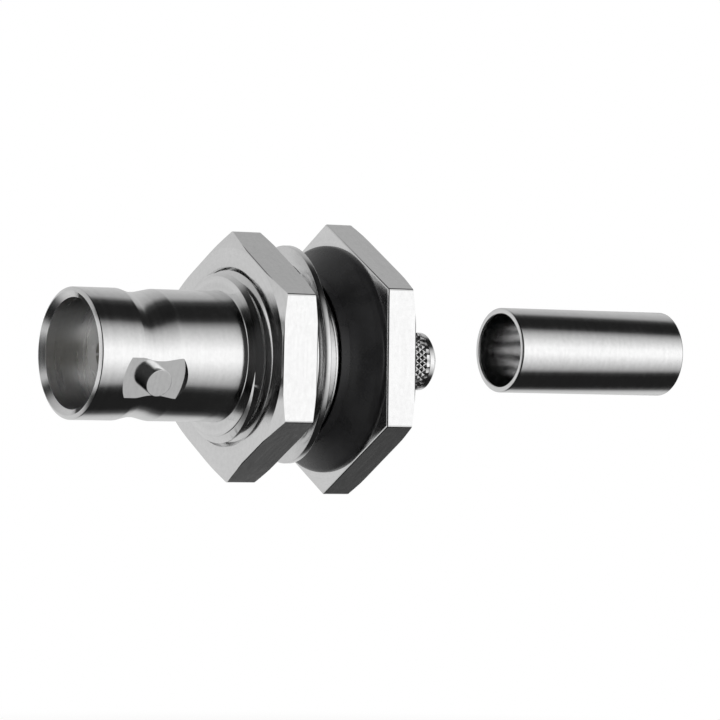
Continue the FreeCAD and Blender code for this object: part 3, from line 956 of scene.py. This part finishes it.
class JACK_OT_studio(bpy.types.Operator):
    """Set up the camera, the soft lamps, the floor and the backdrop"""
    bl_idname = "jack.studio"
    bl_label = "Studio"

    def camera(self, scene, sizes):
        """The photograph's view: aimed at a point on the axis, and rolled a little."""
        level = math.cos(sizes.elevation)
        back = Vector((math.sin(sizes.azimuth) * level, -math.cos(sizes.azimuth) * level,
                       math.sin(sizes.elevation)))
        right = Vector((0, 0, 1)).cross(back).normalized()
        up = back.cross(right)
        across = math.cos(sizes.roll) * right + math.sin(sizes.roll) * up
        above = back.cross(across)
        bpy.ops.object.camera_add()
        camera = bpy.context.object
        turned_to = Matrix((across, above, back)).transposed().to_4x4()
        camera.matrix_world = Matrix.Translation(Vector((sizes.aim, 0, 0))
                                                 + sizes.distance * back) @ turned_to
        camera.data.lens = sizes.lens
        camera.data.sensor_width = SENSOR_WIDTH
        camera.data.clip_start = CLIP_START
        camera.data.clip_end = CLIP_END
        scene.camera = camera

    def lamp(self, name, where, side, power):
        """A soft lamp that lights the pale pieces and the floor, and shows in no reflection."""
        bpy.ops.object.light_add(type="AREA", location=where)
        lamp = bpy.context.object
        lamp.name = name
        lamp.data.size = side
        lamp.data.energy = power
        aim = Vector((MIDDLE, 0, 0)) - Vector(where)
        lamp.rotation_euler = aim.to_track_quat("-Z", "Y").to_euler()
        lamp.visible_glossy = False

    def backdrop(self, scene):
        """White to the eye. For the jack it is a studio with bright walls in front and behind,
        with a long black flag overhead, another underneath, a bright left end, a dark right end
        and a dark side about the camera."""
        world = bpy.data.worlds.new("backdrop")
        scene.world = world
        world.use_nodes = True
        world.node_tree.nodes.clear()
        nodes = Nodes(world.node_tree)
        parts = nodes.add("ShaderNodeSeparateXYZ")
        nodes.link(nodes.add("ShaderNodeTexCoord").outputs["Generated"], parts.inputs[0])
        across, y, z = parts.outputs
        near = nodes.math("MULTIPLY", y, -1)

        walls = nodes.add("ShaderNodeValToRGB")
        angle = nodes.math("ARCTAN2", z, near)
        nodes.link(nodes.math("MULTIPLY_ADD", angle, 1 / math.tau, 0.5), walls.inputs[0])
        ramp = walls.color_ramp
        ramp.elements.remove(ramp.elements[1])
        for number, (degrees, grey) in enumerate(WALLS):
            stop = ramp.elements.new(degrees / 360 + 0.5) if number else ramp.elements[0]
            stop.color = (grey, grey, grey, 1)

        level = nodes.math("MULTIPLY_ADD", walls.outputs[0],
                           nodes.change(across, *LEFT_END, 0, 1),
                           nodes.change(across, *LEFT_END, LEFT_LEVEL, 0))
        shade = nodes.math("MULTIPLY", nodes.change(near, *SHADE_NEAR, 0, 1),
                           nodes.change(across, *SHADE_RIGHT, SHADE_LEVEL, 0))
        lit = nodes.math("MULTIPLY", nodes.change(across, *RIGHT_END, 1, RIGHT_LEVEL),
                         nodes.math("SUBTRACT", 1, shade))
        studio = nodes.add("ShaderNodeBackground")
        nodes.link(nodes.math("MULTIPLY", level, lit), studio.inputs["Strength"])
        white = nodes.add("ShaderNodeBackground")
        white.inputs["Color"].default_value = (1, 1, 1, 1)
        output = nodes.add("ShaderNodeOutputWorld")
        nodes.link(nodes.mixed(nodes.to_the_eye(), studio.outputs[0], white.outputs[0]),
                   output.inputs["Surface"])

    def floor(self, sizes):
        """A pale floor that keeps the soft shadow near the jack, is plain white further out, and
        can be seen through from below."""
        bpy.ops.object.select_all(action="DESELECT")
        bpy.ops.mesh.primitive_circle_add(vertices=SMALL_ROUND_STEPS, radius=FLOOR_RADIUS,
                                          fill_type="NGON", location=(MIDDLE, 0, sizes.floor))
        floor = named("floor")
        bpy.ops.object.transform_apply(location=True, rotation=True, scale=True)
        paper = FinishNodes("floor_paper")
        paper.shader.inputs["Base Color"].default_value = FLOOR_COLOUR
        paper.shader.inputs["Roughness"].default_value = FLOOR_ROUGH
        seen = paper.to_the_eye()
        paper.shader.inputs["Emission Color"].default_value = (1, 1, 1, 1)
        paper.link(paper.math("MULTIPLY", seen, FLOOR_GLOW),
                   paper.shader.inputs["Emission Strength"])
        away = paper.add("ShaderNodeVectorMath", operation="DISTANCE")
        away.inputs[1].default_value = (MIDDLE, 0, sizes.floor)
        paper.link(paper.place(), away.inputs[0])
        far = paper.math("MULTIPLY", paper.change(away.outputs["Value"], *FLOOR_FADE, 0, 1), seen)
        plain = paper.add("ShaderNodeEmission").outputs[0]
        clear = paper.add("ShaderNodeBsdfTransparent").outputs[0]
        under = paper.add("ShaderNodeNewGeometry").outputs["Backfacing"]
        above = paper.mixed(far, paper.shader.outputs[0], plain)
        paper.link(paper.mixed(under, above, clear),
                   paper.tree.nodes["Material Output"].inputs["Surface"])
        floor.data.materials.append(paper.material)
        floor.visible_glossy = False

    def execute(self, context):
        sizes = context.scene.jack_studio
        bpy.ops.object.select_all(action="DESELECT")
        self.camera(context.scene, sizes)
        for name, where, side, power in LAMPS:
            self.lamp(name, [MM * part for part in where], MM * side, power)
        self.backdrop(context.scene)
        self.floor(sizes)
        context.scene.view_settings.view_transform = "Standard"
        return {"FINISHED"}


class JACK_PT_panel(bpy.types.Panel):
    """The steps of the jack, in order"""
    bl_idname = "JACK_PT_panel"
    bl_label = "Bulkhead jack"
    bl_space_type = "VIEW_3D"
    bl_region_type = "UI"
    bl_category = "Jack"

    def draw(self, context):
        """Lists the steps, then every size and finish."""
        for step in STEPS:
            self.layout.operator(step.bl_idname)
        for name in GROUPS:
            group = getattr(context.scene, name)
            box = self.layout.box()
            box.label(text=name)
            for key in group.bl_rna.properties.keys():
                if key not in ("rna_type", "name"):
                    box.prop(group, key)


GROUPS = {"jack_shell": ShellSizes, "jack_hardware": HardwareSizes,
          "jack_cable_end": CableEndSizes, "jack_finishes": Finishes, "jack_studio": StudioSizes}
STEPS = (JACK_OT_shell, JACK_OT_nut, JACK_OT_washer, JACK_OT_seal, JACK_OT_stem,
         JACK_OT_contact, JACK_OT_bead, JACK_OT_ferrule, JACK_OT_studio)


def register():
    """Makes the sizes, the steps and the panel known to Blender."""
    for name, group in GROUPS.items():
        bpy.utils.register_class(group)
        setattr(bpy.types.Scene, name, bpy.props.PointerProperty(type=group))
    for step in STEPS:
        bpy.utils.register_class(step)
    bpy.utils.register_class(JACK_PT_panel)


def unregister():
    """Takes them away again, last one first."""
    bpy.utils.unregister_class(JACK_PT_panel)
    for step in reversed(STEPS):
        bpy.utils.unregister_class(step)
    for name, group in reversed(GROUPS.items()):
        delattr(bpy.types.Scene, name)
        bpy.utils.unregister_class(group)


def main():
    """Builds the jack and its stage."""
    register()
    bpy.ops.jack.shell()
    bpy.ops.jack.nut()
    bpy.ops.jack.washer()
    bpy.ops.jack.seal()
    bpy.ops.jack.stem()
    bpy.ops.jack.contact()
    bpy.ops.jack.bead()
    bpy.ops.jack.ferrule()
    bpy.ops.jack.studio()


if __name__ == "__main__":
    main()
